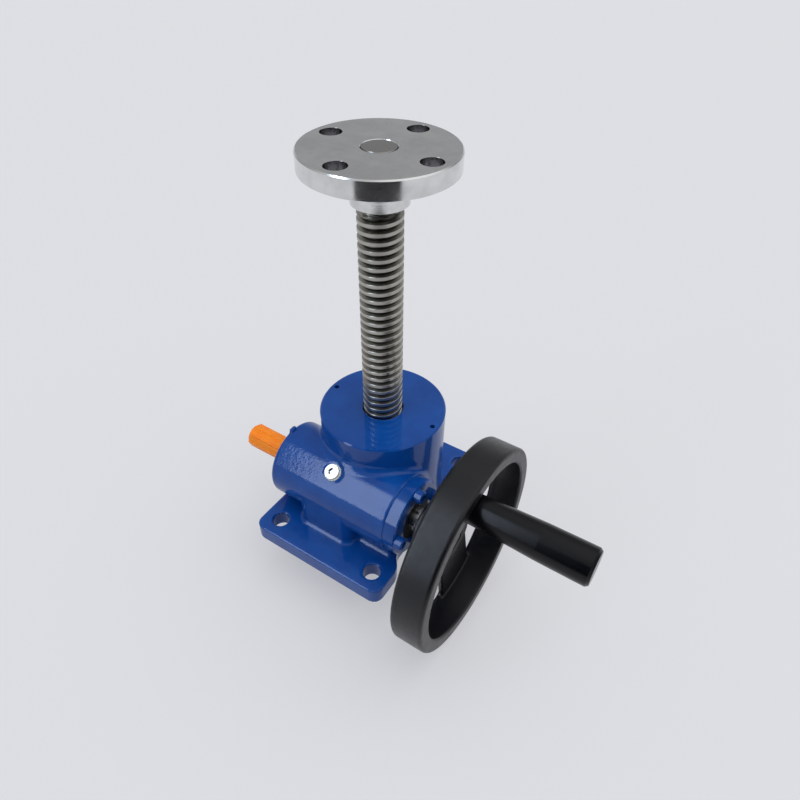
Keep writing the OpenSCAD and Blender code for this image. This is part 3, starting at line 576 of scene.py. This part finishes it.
# four bolt holes with their top edges broken by 0.1 mm, and half way between two of them the set screw's hole,
# which lies along the radius
bolt_points, bolt_faces = lathe([(BOLT_HOLE_R, DISC_LOW - 1), (BOLT_HOLE_R, STUB_TOP - 0.1),
                                 (BOLT_HOLE_R + 0.3, STUB_TOP + 0.2)], steps=48)
tools = [(bolt_points + BOLT_R * np.array([math.cos(turn), math.sin(turn), 0]), bolt_faces)
         for turn in FLANGE_TURN + np.pi / 2 * np.arange(4)]
screw_points, screw_faces = lathe([(3.02, 10), (3.02, 30)], steps=32)
screw_turn = FLANGE_TURN + math.pi / 4
sideways = [-math.sin(screw_turn), math.cos(screw_turn), 0]
outwards = [math.cos(screw_turn), math.sin(screw_turn), 0]
screw_points = screw_points @ np.array([sideways, [0, 0, 1], outwards]) + [0, 0, SCREW_HIGH + 14]
tools.append((screw_points, screw_faces))
drill(flange, tools, sharp_deg=25)


# ---------- floor, room and camera ----------

def stage_plane(name, size_m, place_m, facing, recipe):
    """A flat square of the given size, place and facing, with a material from the recipe."""
    bpy.ops.mesh.primitive_plane_add(size=size_m, location=place_m)
    plane = bpy.context.object
    plane.name = name
    plane.rotation_mode = "QUATERNION"
    plane.rotation_quaternion = Vector(facing).to_track_quat("Z", "Y")
    plane.data.materials.append(make_material(name + "_surface", recipe))
    return plane


def looked_at(tree):
    """1 for rays that see the room straight, in a mirror or through glass, 0 for the light it gives."""
    path = add_node(tree, "LightPath", {})
    mirrored = add_node(tree, "Math", {0: path["Is Glossy Ray"], 1: path["Is Transmission Ray"]},
                        operation="ADD")["Value"]
    return add_node(tree, "Math", {0: path["Is Camera Ray"], 1: mirrored}, operation="ADD",
                    use_clamp=True)["Value"]


def pale_board(tree, place):
    """Matt white board. To the eye part of its paleness is its own, so that the object's shadow on it is faint."""
    looked = looked_at(tree)
    white = add_node(tree, "ValToRGB", {"Fac": looked}, [(0.0, "#d2d3d5"), (1.0, "#9a9b9d")])["Color"]
    glow = add_node(tree, "Math", {0: looked, 1: 0.4}, operation="MULTIPLY")["Value"]
    return {"Base Color": white, "Roughness": 0.9, "Specular IOR Level": 0.1, "Emission Strength": glow,
            "Emission Color": linear("#fafaff")}


def black_card(tree, place):
    """Matt black card with faint 150 mm clouds, which gives bright metal a dark band to mirror."""
    cloud = add_node(tree, "TexNoise", {"Vector": place, "Scale": 1 / (150 * MM), "Detail": 2.0})["Fac"]
    black = add_node(tree, "ValToRGB", {"Fac": cloud}, [(0.3, "#141416"), (0.7, "#1c1c1f")])["Color"]
    return {"Base Color": black, "Roughness": 0.9}


stage_plane("floor", 40, (0, 0, cad_box[0].z - 0.001), (0, 0, 1), pale_board)
card = stage_plane("dark_card", 0.66, (0.30, -0.47, 0.33), (-0.53, 0.85, 0), black_card)
# only mirror images see the card
for ray in ("camera", "diffuse", "transmission", "volume_scatter", "shadow"):
    setattr(card, "visible_" + ray, False)

# The room has even walls, a broad soft lamp above and behind to the right, and a long cool window in front to the
# left. In mirror images the walls are palest at the horizon, darker above it and paler again overhead, which gives
# bright metal its tones, and the light that they give grows evenly towards the ceiling.
LAMP = Vector((0.30, 0.22, 0.93)).normalized()  # towards the lamp's middle
LAMP_EDGE, LAMP_CORE, LAMP_STRENGTH = math.radians(48), math.radians(18), 1.45
WINDOW_STRENGTH, WINDOW_SHARE = 6.2, 0.33  # how bright it is to look at, and the share of that in its light
world = bpy.data.worlds.new("room")
bpy.context.scene.world = world
world.use_nodes = True
room = world.node_tree
room.nodes.clear()
direction = add_node(room, "TexCoord", {})["Generated"]
across, along, rise = add_node(room, "SeparateXYZ", {"Vector": direction}).values()
lit = add_node(room, "ValToRGB", {"Fac": rise}, [(0.0, "#909192"), (0.62, "#bcbdbe"), (1.0, "#d6d7d8")])["Color"]
seen = add_node(room, "ValToRGB", {"Fac": rise}, [(0.0, "#d4d5d7"), (0.14, "#bdbec0"), (0.3, "#a2a3a5"),
                                                  (0.44, "#a2a3a5"), (0.66, "#c0c1c3"), (1.0, "#c8c9ca")])["Color"]
looked = looked_at(room)
light_side = add_node(room, "Background", {"Color": lit})["Background"]
sight_side = add_node(room, "Background", {"Color": seen})["Background"]
walls = add_node(room, "MixShader", {0: looked, 1: light_side, 2: sight_side})["Shader"]

towards = add_node(room, "VectorMath", {0: direction, 1: LAMP}, operation="DOT_PRODUCT")["Value"]
lamp_shine = add_node(room, "MapRange", {"Value": towards, "From Min": math.cos(LAMP_EDGE),
                                         "From Max": math.cos(LAMP_CORE), "To Max": LAMP_STRENGTH},
                      interpolation_type="SMOOTHSTEP")["Result"]
# metal faced straight up mirrors the lamp: it is softer to look at than the light it gives
veil = add_node(room, "MapRange", {"Value": looked, "To Min": 1.0, "To Max": 0.25})["Result"]
lamp_shine = add_node(room, "Math", {0: lamp_shine, 1: veil}, operation="MULTIPLY")["Value"]
lamp = add_node(room, "Background", {"Color": linear("#ffffff"), "Strength": lamp_shine})["Background"]

# the window runs from the horizon up past the front of the ceiling, and is narrow across
off_middle = add_node(room, "Math", {0: across, 1: 0.40}, operation="ADD")["Value"]
off_middle = add_node(room, "Math", {0: off_middle}, operation="ABSOLUTE")["Value"]
in_width = add_node(room, "MapRange", {"Value": off_middle, "From Min": 0.12, "From Max": 0.07},
                    interpolation_type="SMOOTHSTEP")["Result"]
in_front = add_node(room, "MapRange", {"Value": along, "From Min": -0.08, "From Max": -0.30},
                    interpolation_type="SMOOTHSTEP")["Result"]
above = add_node(room, "MapRange", {"Value": rise, "From Min": 0.06, "From Max": 0.12, "To Max": WINDOW_STRENGTH},
                 interpolation_type="SMOOTHSTEP")["Result"]
share = add_node(room, "MapRange", {"Value": looked, "To Min": WINDOW_SHARE, "To Max": 1.0})["Result"]
pane = add_node(room, "Math", {0: in_width, 1: in_front}, operation="MULTIPLY")["Value"]
for factor in (above, share):
    pane = add_node(room, "Math", {0: pane, 1: factor}, operation="MULTIPLY")["Value"]
window = add_node(room, "Background", {"Color": linear("#dbeaff"), "Strength": pane})["Background"]

lights = add_node(room, "AddShader", {0: lamp, 1: window})["Shader"]
lit_room = add_node(room, "AddShader", {0: walls, 1: lights})["Shader"]
# past the object the eye sees only a plain pale background
straight = add_node(room, "LightPath", {})["Is Camera Ray"]
behind = add_node(room, "Background", {"Color": linear("#dadce0")})["Background"]
whole = add_node(room, "MixShader", {0: straight, 1: lit_room, 2: behind})["Shader"]
add_node(room, "OutputWorld", {"Surface": whole})

# the camera stands in front, towards the hand wheel, and looks down at 41 degrees
FRAME_SIZE = 800
camera = bpy.data.objects.new("camera", bpy.data.cameras.new("camera"))
bpy.context.scene.collection.objects.link(camera)
bpy.context.scene.camera = camera
right = Vector((0.839314, 0.543513, 0.012089))
up = Vector((-0.367211, 0.550383, 0.749823))
camera.matrix_world = Matrix.Translation((0.21248, -0.30379, 0.43278)) @ Matrix(
    (right, up, right.cross(up))).transposed().to_4x4()
camera.data.lens = 28.775
camera.data.sensor_width = 36
camera.data.shift_x = -5.17 / FRAME_SIZE
camera.data.shift_y = -1.05 / FRAME_SIZE
camera.data.clip_start = 0.01
bpy.context.scene.view_settings.view_transform = "Standard"
